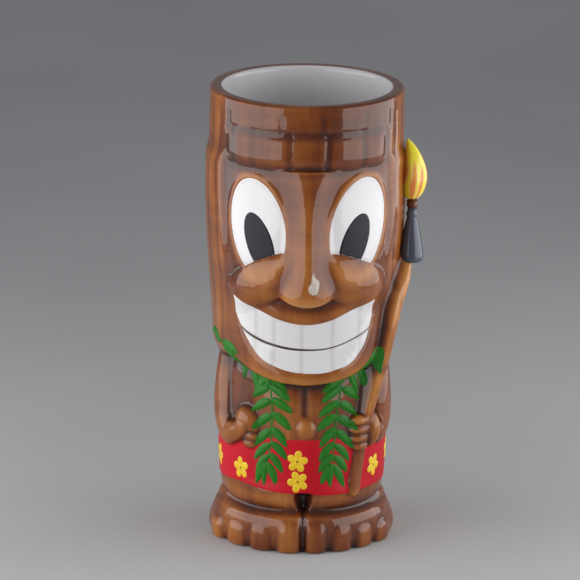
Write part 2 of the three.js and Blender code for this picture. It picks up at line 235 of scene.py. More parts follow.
def nose(theta, height):
    rise, width = along(NOSE_RISE, height), along(NOSE_WIDTH, height)
    sharp = 0.2 + 0.12 * (1 - ramp(104, 118, height)) + 0.2 * ramp(134, 152, height)
    s = across(theta, 0.3, HEAD_RADIUS)
    u = s / width
    roof = 1 - (np.sqrt(u * u + sharp**2) - sharp) / (np.sqrt(1 + sharp**2) - sharp)
    base = 100.4 + 4.2 * np.clip(np.abs(s) / 12, 0, 1.5) ** 2
    under = 1 - np.clip((height - base) / 4.6, -0.25, 1)
    rounded = np.sqrt(np.clip(1 - under**2, 0, 1)) - 0.9 * np.clip(under - 1, 0, 1)
    ends = 3 * np.clip(height - 154.5, 0, 9) + 2.5 * np.clip(base - 0.3 - height, 0, 9)
    full = 1 - 0.42 * (1 - ramp(106, 120, height))
    roof = np.where(roof > 0, np.clip(roof, 0, 1) ** full, 1.6 * roof)
    return along(HEAD_PROFILE, height) - 0.3 + rise * roof * rounded - ends


# Angle, height, half length, half height and slope of each cheek
CHEEKS = {-1: (27, 109.4, 19.6, 8.8, 30), 1: (28.5, 109.6, 19.6, 9.6, 24)}


def cheek(side):
    """An apple cheek: a crisp edge under the eye, running out softly at its outer end."""
    def form(theta, height):
        angle, middle, half_length, half_height, slope = CHEEKS[side]
        s, up, turn = side * across(theta, side * angle), height - middle, math.radians(slope)
        a = (s * math.cos(turn) - up * math.sin(turn)) / half_length
        b = (up * math.cos(turn) + s * math.sin(turn)) / half_height
        inside = 1 - np.abs(a) ** 2.6 - np.abs(b) ** 2.6
        soft = 0.5 + 0.8 * ramp(0.1, 0.95, a - 0.3 * b)
        top = 4.9 * np.clip(inside, 0, 1) ** soft
        return HEAD_RADIUS - 2.2 + np.where(inside > 0, top, 5 * np.clip(inside, -6, 0))
    return form


UPPER_LIP = [(-50, 106.5), (-39, 103.4), (-28, 100.8), (-15, 97.6), (0, 96), (15, 97.6), (27, 100.8),
             (38, 103.4), (47, 105.5)]

JAW_RIM = [
    (-48.5, 103, 24, 12), (-47, 96, 24, 12.8), (-42, 86.5, 24, 13.4), (-33, 78.4, 24, 13.7),
    (-17, 72.8, 24.2, 13.8), (0, 71.2, 24.3, 13.8), (17, 72.4, 24.2, 13.8), (33, 77, 24, 13.7),
    (42, 85.5, 24, 13.4), (46, 95.5, 24, 12.8), (46.5, 102, 24, 12),
]

ARM_LINES = {
    "left_arm": [(-79, 76, 24.2, 9), (-77, 66, 24.9, 10), (-75, 57, 25.3, 10.6),
                 (-71, 49.5, 26.4, 9.8), (-62, 44.4, 28.8, 7.4), (-52, 45.6, 31, 5.4),
                 (-45, 48, 32, 4.4)],
    "right_arm": [(78, 76, 24.4, 9), (74, 66, 25, 10), (71, 57, 25.4, 10.6),
                  (69, 50, 26.4, 9.8), (63, 45, 28.8, 7), (56, 45.6, 31, 4.8)],
}

POLE_LINE = [
    (36.6, 24.6, 30.2, 4.6), (39, 33, 30.6, 4.3), (41.5, 42, 31.6, 3.7), (47.5, 56, 33.4, 3.1),
    (54, 70, 34.8, 3.6), (60.4, 86, 36.6, 4.1), (66, 98, 37.8, 4), (73.5, 106, 39.4, 3.4),
    (79, 112.5, 40.4, 2.4),
]

FISTS = {
    "left_hand": [(-43.5, 51, 30.2, 6.8, 6.2, 5.8), (-39.5, 48.4, 31, 4.6, 2.7, 3.9),
                  (-39.2, 45.2, 31, 4.8, 2.7, 4), (-39.8, 42.2, 31, 4.4, 2.6, 3.7)],
    "right_hand": [(50.5, 47.6, 30.2, 5, 8.4, 7.8), (41, 51.8, 31.2, 5.4, 2.9, 5),
                   (40.8, 48.3, 31.2, 5.6, 2.9, 5.1), (40.6, 44.8, 31.2, 5.4, 2.9, 5),
                   (40.8, 41.6, 31.2, 5, 2.7, 4.8)],
}


def fist(name):
    def form(theta, height):
        radius = np.full(np.shape(theta), 20.0)
        for lump in FISTS[name]:
            radius = blend_max(radius, ball(theta, height, *lump), 1.2)
        return radius
    return form


# Toes from the big one outwards: angle, middle height, half width, half height
TOES = {
    -1: [(9.6, 4.6, 5.6, 9.2), (28.4, 4.2, 5.8, 8), (47.6, 3.8, 6.4, 7), (67.5, 3.4, 6.2, 6)],
    1: [(8.8, 4.6, 5.2, 9), (26.2, 4.2, 5.6, 8.2), (43.6, 3.8, 5.6, 7), (63, 3.4, 6.6, 6.2)],
}
INSTEP = [(0, 34.3), (3, 35.3), (8, 35.6), (12, 35), (14.4, 33.6), (16.2, 31), (18, 26)]
FOOT_SIDE = [(0, 35.6), (3, 36.6), (6, 36.6), (10, 35.4), (14, 33.8), (18, 31.8), (20, 29)]


def foot(side):
    def form(theta, height):
        turn = side * theta
        sideways = ramp(48, 78, turn)
        radius = along(INSTEP, height) * (1 - sideways) + along(FOOT_SIDE, height) * sideways
        radius = radius - 5 * np.clip(height - 19, 0, 9)
        radius = radius - 1.5 * (1 - ramp(0, 4, turn)) - 12 * ramp(84, 104, turn)
        radius = radius - 30 * (1 - ramp(-3, 0.2, turn))
        for angle, middle, half_width, half_height in TOES[side]:
            spread = 1.1 * ramp(48, 78, np.array(angle))
            toe = ball(theta, height, side * angle, middle, 31.8 + spread, half_width,
                       half_height, 5.0, 0, 2.8)
            radius = blend_max(radius, toe, 0.9)
        return np.where(turn > -4, radius, radius + SUNK)
    return form


def jaw(theta, height):
    return bar(theta, height, JAW_RIM) - under_chin(theta, height)


def belly_knot(theta, height):
    return ball(theta, height, 1.4, 49.3, 29.8, 4.6, 4.5, 3.7)


def line_form(points):
    return lambda theta, height: bar(theta, height, points)


# name: (form, blend with what is under it, window of angles, window of heights)
RAISED = {
    "headband": (headband, 0.5, (-180, 180), (153, 171)),
    "nose": (nose, 2.4, (-32, 32), (96, 159)),
    "left_cheek": (cheek(-1), 2.2, (-60, 0), (92, 130)),
    "right_cheek": (cheek(1), 2.2, (0, 60), (92, 130)),
    "jaw": (jaw, 1.6, (-66, 66), (62, 112)),
    "belly_knot": (belly_knot, 2.4, (-10, 11), (43, 56)),
    "left_arm": (line_form(ARM_LINES["left_arm"]), 2.4, (-104, -34), (34, 78)),
    "right_arm": (line_form(ARM_LINES["right_arm"]), 2.4, (44, 104), (34, 78)),
    "left_hand": (fist("left_hand"), 1.6, (-58, -26), (35, 62)),
    "torch_pole": (line_form(POLE_LINE), 2.2, (26, 90), (14, 118)),
    "right_hand": (fist("right_hand"), 1.3, (28, 64), (36, 60)),
    "left_foot": (foot(-1), 1.6, (-110, 5), (0.6, 22)),
    "right_foot": (foot(1), 1.6, (-5, 110), (0.6, 22)),
}


# ---- Carving ------------------------------------------------------------------------------

# Angle and depth of the upright lines on the headband and the crown, and at the sides and back
BOARDS = [(-49, 0.25), (-33, 0.12), (-11, 0.22), (12, 0.4), (34, 0.2), (53, 0.2)]
CROWN_BOARDS = [(-54, 0.2), (-34, 0.08), (-16, 0.1), (-2, 0.08), (9, 0.16), (36, 0.1), (58, 0.2)]
SIDE_BOARDS = [(63, 0.25), (75, 0.2), (88, 0.3), (102, 0.25), (118, 0.3), (134, 0.25), (150, 0.3),
               (166, 0.25)]
# Each set of upright lines, with its lowest point and how much it wanders
UPRIGHTS = [
    (BOARDS, BROW - 1, 0.4),
    (CROWN_BOARDS, BAND_TOP, 0.5),
    ([(side * angle, depth) for side in (-1, 1) for angle, depth in SIDE_BOARDS], 78, 1.3),
]


def cut_line(theta, height, angle, low, high, depth, reach, sway=0.0):
    """An upright carved groove between two heights."""
    wander = sway * (np.sin(height / 13 + angle) + 0.5 * np.sin(height / 5 + 2 * angle))
    inside = ramp(low - 0.8, low + 1.2, height) * (1 - ramp(high - 1.2, high + 0.8, height))
    return depth * bell(across(theta, angle + wander), reach) * inside


def uprights(theta, height, styles):
    """All upright lines, with the highest point, share of the depth and reach of each set."""
    return sum(cut_line(theta, height, angle, low, high, share * depth, reach, sway)
               for (lines, low, sway), (high, share, reach) in zip(UPRIGHTS, styles)
               for angle, depth in lines)


def carving(theta, height):
    """How deep the carver's lines go below the forms."""
    front = 1 - ramp(47, 58, np.abs(theta + 1))
    depth = 0.25 * front * bell(height - BAND_TOP - 0.6, 2.6)
    depth = depth + 0.45 * front * bell(height - BROW + 1.6, 3.2)
    depth = depth + uprights(theta, height, [(BAND_TOP + 2, 1, 2.4), (176, 1, 2.2), (175, 1, 3)])
    depth = depth + cut_line(theta, height, 0, 54.5, 66, 0.6, 3)
    depth = depth + 0.4 * bell(height - 15.6, 2.2) * (1 - ramp(70, 100, np.abs(theta)))
    return depth


# Angle, middle height, half width, half height and lean of the eye whites
EYES = {-1: (31, 131, 12, 19.6, 10), 1: (32, 131.4, 12.2, 20, 12)}


def eye_depth(theta, height, side):
    """Distance inside the outline of an eye white, negative outside."""
    angle, middle, half_width, half_height, lean = EYES[side]
    s = across(theta, side * angle, HEAD_RADIUS) * side
    return oval(s, height - middle, half_width, half_height, lean)


def oval(s, up, half_width, half_height, lean):
    """Distance inside an upright oval whose top leans towards positive s."""
    turn = math.radians(lean)
    a = s * math.cos(turn) - up * math.sin(turn)
    b = up * math.cos(turn) + s * math.sin(turn)
    q = np.sqrt((a / half_width) ** 2 + (b / half_height) ** 2 + 1e-6)
    return (1 - q) * (np.hypot(a, b) + half_width * 1e-3) / q


# ---- The whole clay surface ---------------------------------------------------------------

def form_radii(theta, height):
    radii = {"mug_shell": cup(theta, height)}
    for name, (form, _, angles, heights) in RAISED.items():
        near = (theta > angles[0] - WINDOW_ROOM) & (theta < angles[1] + WINDOW_ROOM)
        near &= (height > heights[0] - WINDOW_ROOM) & (height < heights[1] + WINDOW_ROOM)
        values = np.full(np.shape(theta), ABSENT)
        if near.any():
            values[near] = form(theta[near], height[near])
        radii[name] = values
    return radii


def clay(theta, height, radii=None):
    """Radius of the glazed clay."""
    radii = radii or form_radii(theta, height)
    total = radii["mug_shell"]
    for name, (_, width, _, _) in RAISED.items():
        total = blend_max(radii[name], total, width)
    return total - carving(theta, height)


MAP_STEP = 0.5


def blurred(values, columns, rows):
    """A Gaussian blur of the map, round the mug and up it."""
    for axis, sigma in ((1, columns), (0, rows)):
        reach = int(3 * sigma)
        weights = np.exp(-0.5 * (np.arange(-reach, reach + 1) / sigma) ** 2)
        padded = np.pad(values, [(reach, reach) if a == axis else (0, 0) for a in (0, 1)],
                        mode="wrap" if axis == 1 else "edge")
        size = values.shape[axis]
        values = sum(w * np.take(padded, range(k, k + size), axis)
                     for k, w in enumerate(weights / weights.sum()))
    return values


def recess_map():
    """How far each point lies below its surroundings, in millimetres, near and wide."""
    theta, height = np.meshgrid(np.arange(-180, 180, MAP_STEP), np.arange(0, HEIGHT, MAP_STEP))
    radius = clay(theta, height)
    near = blurred(radius, 3.0, 2.0) - radius
    wide = blurred(radius, 11.0, 7.0) - radius
    return near, wide


# Used to darken the glaze in recesses: partly glaze that pools there, partly painted shade
NEAR_MAP, WIDE_MAP = recess_map()


def from_map(values, theta, height):
    column = ((theta + 180) / MAP_STEP) % values.shape[1]
    row = np.clip(height / MAP_STEP, 0, values.shape[0] - 1.001)
    i, j = row.astype(int), column.astype(int) % values.shape[1]
    f, g = row - i, column - column.astype(int)
    k = (j + 1) % values.shape[1]
    low = values[i, j] * (1 - g) + values[i, k] * g
    high = values[i + 1, j] * (1 - g) + values[i + 1, k] * g
    return low * (1 - f) + high * f


# ---- Meshes -------------------------------------------------------------------------------

def to_space(theta, height, radius):
    turn = np.radians(theta)
    return np.stack([radius * np.sin(turn), -radius * np.cos(turn), height], -1) * MM


def surface_normals(theta, height, radius):
    """Outward normals of a radius lattice whose rows are heights and columns angles."""
    turn = np.radians(theta)
    by_angle = np.gradient(radius, axis=1) / np.gradient(turn, axis=1)
    by_height = np.gradient(radius, axis=0) / np.gradient(height, axis=0)
    out = np.stack([np.sin(turn), -np.cos(turn), np.zeros_like(turn)], -1)
    around = np.stack([np.cos(turn), np.sin(turn), np.zeros_like(turn)], -1)
    up = np.array([0.0, 0.0, 1.0])
    normal = out - around * (by_angle / radius)[..., None] - up * by_height[..., None]
    return normal / np.linalg.norm(normal, axis=-1, keepdims=True)


def corners(i, j, columns):
    """The corners of the cell in row i and column j, anticlockwise, as places in the lattice."""
    k = (j + 1) % columns
    return [i * columns + j, i * columns + k, (i + 1) * columns + k, (i + 1) * columns + j]


def tube_faces(rows, columns):
    """Quads between rings of points."""
    i, j = np.indices((rows - 1, columns)).reshape(2, -1)
    return np.stack(corners(i, j, columns), 1)


def closed_faces(keep, columns):
    """Quads of a closed sheet over the kept cells of a lattice: front, back and edge walls."""
    wrap = keep.shape[1] == columns
    count = (keep.shape[0] + 1) * columns
    front = np.stack(corners(*np.nonzero(keep), columns), 1)
    faces = [front, front[:, ::-1] + count]
    upright = np.pad(keep, [(1, 1), (0, 0)])
    level = np.pad(keep, [(0, 0), (1, 1)], mode="wrap" if wrap else "constant")
    below, above, left, right = upright[:-2], upright[2:], level[:, :-2], level[:, 2:]
    for beside, first, second in ((below, 0, 1), (right, 1, 2), (above, 2, 3), (left, 3, 0)):
        four = corners(*np.nonzero(keep & ~beside), columns)
        p, q = four[first], four[second]
        faces.append(np.stack([q, p, p + count, q + count], 1))
    return np.concatenate(faces)


def mesh_object(name, points, faces, normals=None, values=None):
    """A smooth mesh with named point values, without the points that no face uses."""
    used, faces = np.unique(faces, return_inverse=True)
    faces = faces.reshape(-1, 4)
    mesh = bpy.data.meshes.new(name)
    mesh.vertices.add(len(used))
    mesh.vertices.foreach_set("co", points.reshape(-1, 3)[used].ravel())
    mesh.loops.add(faces.size)
    mesh.loops.foreach_set("vertex_index", faces.ravel())
    mesh.polygons.add(len(faces))
    mesh.polygons.foreach_set("loop_start", np.arange(len(faces)) * 4)
    mesh.update(calc_edges=True)
    mesh.validate()
    for key, value in (values or {}).items():
        attribute = mesh.attributes.new(key, "FLOAT", "POINT")
        attribute.data.foreach_set("value", value.ravel()[used].astype(np.float32))
    mesh.polygons.foreach_set("use_smooth", np.ones(len(mesh.polygons), bool))
    if normals is not None:
        mesh.normals_split_custom_set_from_vertices(normals.reshape(-1, 3)[used])
    made = bpy.data.objects.new(name, mesh)
    bpy.context.scene.collection.objects.link(made)
    return made


def finish_piece(piece, node, material):
    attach(piece, "root")
    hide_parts(node)
    piece.data.materials.append(material)
    return piece


def goes_round(angles):
    return angles[1] - angles[0] >= 360


def lattice(angles, heights, step):
    """Angles and heights of a window, closed round the mug where it is 360 degrees wide."""
    columns = max(int(math.radians(angles[1] - angles[0]) * ARC_RADIUS / step), 8)
    whole = goes_round(angles)
    turns = np.linspace(angles[0], angles[1], columns + (0 if whole else 1), endpoint=not whole)
    rows = np.linspace(heights[0], heights[1], max(int((heights[1] - heights[0]) / step), 4) + 1)
    return np.meshgrid(turns, rows)


def cells_over(level, limit, whole):
    """Cells of which a corner is above the limit."""
    over = level > limit
    after = np.roll(over, -1, 1) if whole else over[:, 1:]
    over = over if whole else over[:, :-1]
    either = over | after
    return either[:-1] | either[1:]


def clay_values(theta, height, extra=None):
    values = {
        "near": np.minimum(from_map(NEAR_MAP, theta, height), 0.5) + brushed_lines_and_shade(theta, height),
        "wide": np.minimum(from_map(WIDE_MAP, theta, height), 1.0),
        "thin": thin_glaze(theta, height),
    }
    values.update(extra or {})
    return values


def brushed_lines_and_shade(theta, height):
    """Extra brown brushed along the carved lines, and painted shade under the chin and in the gap
    between the legs.
    """
    front = 1 - ramp(46, 54, np.abs(theta + 1))
    brown = 0.18 * front * (bell(height - BAND_TOP - 0.6, 2.2) + bell(height - BROW + 1.4, 2.6))
    # painted shade under the overhang of the chin
    chin = height - along(JAW_LINE, np.abs(theta)) + 1.4
    brown = brown + 0.5 * bell(chin, 3) * (1 - ramp(60, 80, np.abs(theta)))
    brown = brown + uprights(theta, height, [(BAND_TOP, 1.1, 2), (178, 1, 2), (178, 1, 1.6)])
    # painted shade in the gap between the legs
    gap = bell(across(theta, 0), 4.4) * ramp(13, 17, height) * (1 - ramp(23, 26, height))
    return brown + 0.4 * gap + cut_line(theta, height, 0, 54.5, 66, 0.5, 2.6)


def doubled(values):
    return {key: np.stack([value, value]) for key, value in values.items()}


def thin_glaze(theta, height):
    """Where the brush left little brown: round the eyes and mouth, the sides, belly and legs."""
    eyes = sum(bell(eye_depth(theta, height, side), 5) for side in (-1, 1))
    sides = 0.7 * ramp(52, 64, np.abs(theta)) * ramp(80, 92, height)
    legs = 0.8 * bell(height - 20, 6) * ramp(6, 12, np.abs(theta))
    toes = 0.2 * bell(height - 5, 8)
    belly = 0.5 * bell(height - 52, 12) * bell(theta, 24)
    lips = 0.4 * bell(mouth_depth(theta, height) - 0.4, 3.6)
    return np.clip(eyes + lips + sides + legs + toes + belly, 0, 1)


def raised_piece(node, step):
    """A raised clay form, as the part of the surface where it is the outermost form."""
    _, _, angles, heights = RAISED[node]
    theta, height = lattice(angles, heights, step)
    radii = form_radii(theta, height)
    surface = clay(theta, height, radii)
    others = np.max([radius for name, radius in radii.items() if name != node], 0)
    level = radii[node] + OVERLAP - others
    outer = surface - np.clip(-level * DIP_SLOPE, 0, MAX_DIP)
    inner = np.minimum(radii["mug_shell"], surface) - FORM_DEPTH
    keep = cells_over(level, -FORM_EDGE, goes_round(angles))
    points = np.stack([to_space(theta, height, outer), to_space(theta, height, inner)])
    normal = surface_normals(theta, height, surface)
    normals = np.stack([normal, -normal])
    chip = {"chip": chip_depth(theta, height)} if node == "nose" else None
    values = doubled(clay_values(theta, height, chip))
    piece = mesh_object(f"{node}_clay", points, closed_faces(keep, theta.shape[1]), normals, values)
    return finish_piece(piece, node, CHIPPED_GLAZE if node == "nose" else BROWN_GLAZE)


def enamel_piece(node, level, angles, heights, material, thickness=ENAMEL,
                 step=ENAMEL_STEP, soft=0.5, extra=None):
    """A fired enamel over the clay wherever its level, the distance inside it, is positive."""
    theta, height = lattice(angles, heights, step)
    depth = level(theta, height)
    surface = clay(theta, height)
    rise = np.where(depth > 0, thickness * np.sqrt(1 - (1 - np.clip(depth / soft, 0, 1)) ** 2),
                    np.clip(depth * 1.2, -0.5, 0))
    outer = surface + rise
    inner = surface - ENAMEL_DEPTH
    keep = cells_over(depth, -ENAMEL_EDGE, goes_round(angles))
    points = np.stack([to_space(theta, height, outer), to_space(theta, height, inner)])
    normal = surface_normals(theta, height, surface + thickness * ramp(0, soft * 1.5, depth))
    normals = np.stack([normal, -normal])
    values = {"near": from_map(NEAR_MAP, theta, height), "inside": depth}
    values.update(extra(theta, height) if extra else {})
    faces = closed_faces(keep, theta.shape[1])
    piece = mesh_object(f"{node}_enamel", points, faces, normals, doubled(values))
    return finish_piece(piece, node, material)


def turned_piece(name, profile, segments=96, **values):
    """A solid turned about Z from (radius, height) points, with the same named values all over."""
    radii, heights = np.array(profile, float).T
    theta, height = np.meshgrid(np.linspace(-180, 180, segments, endpoint=False), heights)
    radius = np.maximum(radii, AXIS_RADIUS)[:, None] + np.zeros_like(theta)
    values = {key: np.full(theta.shape, value) for key, value in values.items()}
    return mesh_object(name, to_space(theta, height, radius), tube_faces(*theta.shape), None, values)


# ---- Materials ----------------------------------------------------------------------------

def srgb(red, green, blue):
    """A colour given as 0-255 display values."""
    def linear(value):
        value = value / 255
        return value / 12.92 if value <= 0.04045 else ((value + 0.055) / 1.055) ** 2.4
    return (linear(red), linear(green), linear(blue), 1.0)


class Nodes:
    """Short calls for building a node material."""

    def __init__(self, name):
        self.material = bpy.data.materials.new(name)
        self.material.use_nodes = True
        self.tree = self.material.node_tree
        self.shader = self.tree.nodes["Principled BSDF"]
        self.shader.inputs["Specular IOR Level"].default_value = 0.5

    def link(self, source, target):
        self.tree.links.new(source, target)

    def set(self, **values):
        for key, value in values.items():
            self.shader.inputs[key.replace("_", " ")].default_value = value

    def value(self, name):
        node = self.tree.nodes.new("ShaderNodeAttribute")
        node.attribute_name = name
        return node.outputs["Fac"]

    def noise(self, scale, stretch=(1, 1, 1), detail=4, roughness=0.55, distortion=0.0):
        place = self.tree.nodes.new("ShaderNodeTexCoord")
        mapping = self.tree.nodes.new("ShaderNodeMapping")
        mapping.inputs["Scale"].default_value = stretch
        self.link(place.outputs["Object"], mapping.inputs["Vector"])
        node = self.tree.nodes.new("ShaderNodeTexNoise")
        node.inputs["Scale"].default_value = scale
        node.inputs["Detail"].default_value = detail
        node.inputs["Roughness"].default_value = roughness
        node.inputs["Distortion"].default_value = distortion
        self.link(mapping.outputs["Vector"], node.inputs["Vector"])
        return node.outputs["Fac"]

    def ramp(self, source, stops):
        """A colour ramp of (place, colour) stops."""
        node = self.tree.nodes.new("ShaderNodeValToRGB")
        elements = node.color_ramp.elements
        elements[0].position, elements[0].color = stops[0]
        elements[1].position, elements[1].color = stops[-1]
        for place, color in stops[1:-1]:
            elements.new(place).color = color
        self.link(source, node.inputs["Fac"])
        return node.outputs["Color"]

    def span(self, source, low, high, to_low=0.0, to_high=1.0):
        node = self.tree.nodes.new("ShaderNodeMapRange")
        for key, value in zip(("From Min", "From Max", "To Min", "To Max"),
                              (low, high, to_low, to_high)):
            node.inputs[key].default_value = value
        self.link(source, node.inputs["Value"])
        return node.outputs["Result"]

    def feed(self, sockets, values):
        """Sets each socket to its number or colour, or links it to its source."""
        for socket, value in zip(sockets, values):
            if isinstance(value, (int, float, tuple)):
                socket.default_value = value
            else:
                self.link(value, socket)

    def math(self, operation, first, second):
        node = self.tree.nodes.new("ShaderNodeMath")
        node.operation = operation
        self.feed(node.inputs, (first, second))
        return node.outputs["Value"]

    def mix(self, factor, first, second):
        node = self.tree.nodes.new("ShaderNodeMix")
        node.data_type = "RGBA"
        self.feed((node.inputs[0], node.inputs[6], node.inputs[7]), (factor, first, second))
        return node.outputs[2]

    def grain(self, scale, detail, distance):
        """Fine unevenness of the surface, distance metres deep."""
        node = self.tree.nodes.new("ShaderNodeBump")
        node.inputs["Distance"].default_value = distance
        node.inputs["Strength"].default_value = 1.0
        self.link(self.noise(scale, detail=detail), node.inputs["Height"])
        self.link(node.outputs["Normal"], self.shader.inputs["Normal"])
        self.link(node.outputs["Normal"], self.shader.inputs["Coat Normal"])

    def color(self, source):
        self.link(source, self.shader.inputs["Base Color"])
        return self.material


def brown_glaze_color(nodes):
    """Translucent brown over pale clay: pale on ridges, darker in recesses, partly where the glaze
    pools and partly as painted shade, brushed streaks.
    """
    # darker in recesses: partly glaze that pools there, partly painted shade
    pooled_and_shaded = nodes.math("ADD", nodes.math("MULTIPLY", nodes.value("near"), 0.85),
                        nodes.math("MULTIPLY", nodes.value("wide"), 0.20))
    upright = nodes.noise(70, (1, 1, 0.16), 5, 0.6, 0.4)
    level = nodes.noise(60, (0.3, 0.3, 2.4), 4, 0.6, 0.2)
    cloud = nodes.noise(16, (1, 1, 0.8), 3, 0.55)
    streak = nodes.math("ADD", nodes.span(upright, 0.3, 0.7, -0.14, 0.14),
                        nodes.span(level, 0.3, 0.7, -0.06, 0.06))
    streak = nodes.math("ADD", streak, nodes.span(cloud, 0.3, 0.7, -0.14, 0.14))
    depth = nodes.math("ADD", nodes.span(pooled_and_shaded, -1.0, 1.0, 0.0, 1.0), streak)
    depth = nodes.math("SUBTRACT", depth, nodes.math("MULTIPLY", nodes.value("thin"), 0.2))
    return nodes.ramp(depth, [
        (0.06, srgb(194, 128, 60)),
        (0.30, srgb(156, 89, 28)),
        (0.50, srgb(112, 51, 7)),
        (0.66, srgb(78, 31, 4)),
        (0.90, srgb(34, 11, 2)),
    ])


COAT_ROUGHNESS = 0.035
COAT_IOR = 1.52


def glossy_coat(nodes, roughness=0.45, weight=0.7):
    nodes.set(Roughness=roughness, Specular_IOR_Level=0.2, Coat_Weight=weight)
    nodes.set(Coat_Roughness=COAT_ROUGHNESS, Coat_IOR=COAT_IOR)
    nodes.grain(260, 2, 0.00004)


def brown_glaze():
    nodes = Nodes("brown_glaze")
    glossy_coat(nodes)
    return nodes.color(brown_glaze_color(nodes))


def chipped_glaze():
    """The brown glaze with the small chip on the nose that shows the white body."""
    nodes = Nodes("chipped_brown_glaze")
    glossy_coat(nodes)
    inside = nodes.value("chip")
    bare = nodes.span(inside, -0.08, 0.08)
    nodes.link(nodes.span(bare, 0, 1, 0.7, 0), nodes.shader.inputs["Coat Weight"])
    nodes.link(nodes.span(bare, 0, 1, 0.4, 0.8), nodes.shader.inputs["Roughness"])
    clay_color = nodes.ramp(nodes.noise(420, detail=3),
                            [(0.35, srgb(196, 184, 168)), (0.65, srgb(226, 218, 206))])
    # the bare clay turns brown near the chip's edge: painted shadow along the edge of the chip
    edge = nodes.mix(nodes.span(inside, 0.0, 0.45, 0.75, 0.0), clay_color, srgb(120, 76, 44))
    return nodes.color(nodes.mix(bare, brown_glaze_color(nodes), edge))


def white_glaze_color(nodes, shade):
    """White, a little greyer in recesses and at the gaps between the teeth: painted shade, partly glaze
    that pools there.
    """
    mottled = nodes.ramp(nodes.noise(35, detail=3), [(0.3, shade), (0.8, srgb(228, 225, 226))])
    # greyer in recesses: painted shade, partly glaze that pools there
    pooled_and_shaded = nodes.span(nodes.value("near"), 0.02, 0.5)
    return nodes.mix(pooled_and_shaded, mottled, srgb(196, 190, 186))


def white_glaze():
    nodes = Nodes("white_glaze")
    glossy_coat(nodes, 0.25)
    return nodes.color(white_glaze_color(nodes, srgb(240, 238, 240)))


def tooth_glaze():
    """White with the dark line of the bite painted on it."""
    nodes = Nodes("tooth_glaze")
    glossy_coat(nodes, 0.25)
    painted = nodes.span(nodes.value("line"), -0.04, 0.04)
    white = white_glaze_color(nodes, srgb(232, 230, 231))
    return nodes.color(nodes.mix(painted, white, srgb(24, 26, 22)))


def enamel(name, light, dark, roughness, gloss, scale=90):
    """A cold-painted colour: a little streaky, with a soft sheen."""
    nodes = Nodes(name)
    nodes.set(Roughness=roughness, Specular_IOR_Level=0.2, Coat_Weight=gloss, Coat_Roughness=0.2)
    nodes.grain(300, 3, 0.00006)
    brushed = nodes.noise(scale, (1, 1, 0.35), 4, 0.6, 0.3)
    return nodes.color(nodes.ramp(brushed, [(0.32, light), (0.7, dark)]))


def leaf_enamel():
    """Leaf green, paler along the middle of each leaflet."""
    nodes = Nodes("green_enamel")
    nodes.set(Roughness=0.48, Specular_IOR_Level=0.25, Coat_Weight=0.12, Coat_Roughness=0.25)
    nodes.grain(300, 3, 0.00006)
    brushed = nodes.noise(120, (1, 1, 0.5), 4, 0.6)
    green = nodes.ramp(brushed, [(0.3, srgb(14, 96, 10)), (0.7, srgb(40, 122, 20))])
    middle = nodes.span(nodes.value("inside"), 0.25, 0.9, 0.0, 0.4)
    return nodes.color(nodes.mix(middle, green, srgb(38, 124, 26)))


def flower_enamel():
    """Yellow petals with a small dark centre."""
    nodes = Nodes("yellow_enamel")
    nodes.set(Roughness=0.4, Coat_Weight=0.3, Coat_Roughness=0.2)
    nodes.grain(300, 3, 0.00006)
    brushed = nodes.noise(200, detail=3)
    petals = nodes.ramp(brushed, [(0.3, srgb(250, 214, 8)), (0.7, srgb(238, 192, 4))])
    centre = nodes.span(nodes.value("centre"), 0.3, 0.6, 1.0, 0.0)
    return nodes.color(nodes.mix(centre, petals, srgb(96, 60, 8)))


def flame_enamel():
    """Yellow with orange brush strokes that follow the tongue of the flame."""
    nodes = Nodes("flame_enamel")
    nodes.set(Roughness=0.25, Coat_Weight=0.8, Coat_Roughness=0.06)
    nodes.grain(260, 2, 0.00004)
    ragged = nodes.noise(180, (1, 1, 0.25), 4, 0.6)
    edge = nodes.math("ADD", nodes.value("stroke"), nodes.span(ragged, 0.3, 0.7, -0.4, 0.4))
    return nodes.color(nodes.ramp(edge, [
        (0.20, srgb(255, 238, 50)),
        (0.50, srgb(255, 214, 104)),
        (0.80, srgb(250, 172, 82)),
        (1.00, srgb(242, 136, 50)),
    ]))


def floor_paper():
    nodes = Nodes("floor_paper")
    nodes.set(Roughness=0.75)
    nodes.grain(900, 2, 0.0001)
    pale = [(0.3, srgb(186, 187, 188)), (0.7, srgb(200, 200, 201))]
    return nodes.color(nodes.ramp(nodes.noise(3, detail=3), pale))


BROWN_GLAZE = brown_glaze()
CHIPPED_GLAZE = chipped_glaze()
WHITE_GLAZE = white_glaze()
TOOTH_GLAZE = tooth_glaze()
BLACK_ENAMEL = enamel("black_enamel", srgb(38, 39, 45), srgb(33, 34, 40), 0.5, 0.15)
# the dark canister is given a lighter blue-grey: painted reflection of the lights on its gloss
CANISTER_PAINTED_REFLECTION = enamel("canister_enamel_painted_reflection", srgb(80, 85, 102), srgb(62, 66, 80), 0.3, 0.9)
RED_ENAMEL = enamel("red_enamel", srgb(208, 20, 42), srgb(184, 10, 26), 0.5, 0.06, 40)
GREEN_ENAMEL = leaf_enamel()
YELLOW_ENAMEL = flower_enamel()
FLAME_ENAMEL = flame_enamel()


# ---- The cup ------------------------------------------------------------------------------

INSIDE_RADIUS = HEAD_RADIUS - RIM_WALL
WELL_RADIUS = 27.4
FLOOR = 6.0
RIM_STEPS = np.radians([18, 36, 54, 72, 90])
RIM_NEAR = -0.05       # the glaze runs thin over the rim

# Radius and height of the plain inside and of the underside with its foot ring
WELL = [(INSIDE_RADIUS, 178), (INSIDE_RADIUS, 115), (31.3, 86), (WELL_RADIUS, 62), (WELL_RADIUS, 10),
        (25.8, 7.4), (23.4, FLOOR), (12, FLOOR), (0.05, FLOOR)]
UNDERSIDE = [(0.05, 0.7), (26, 0.7), (28.4, 0.5), (29.2, 0), (31.6, 0)]


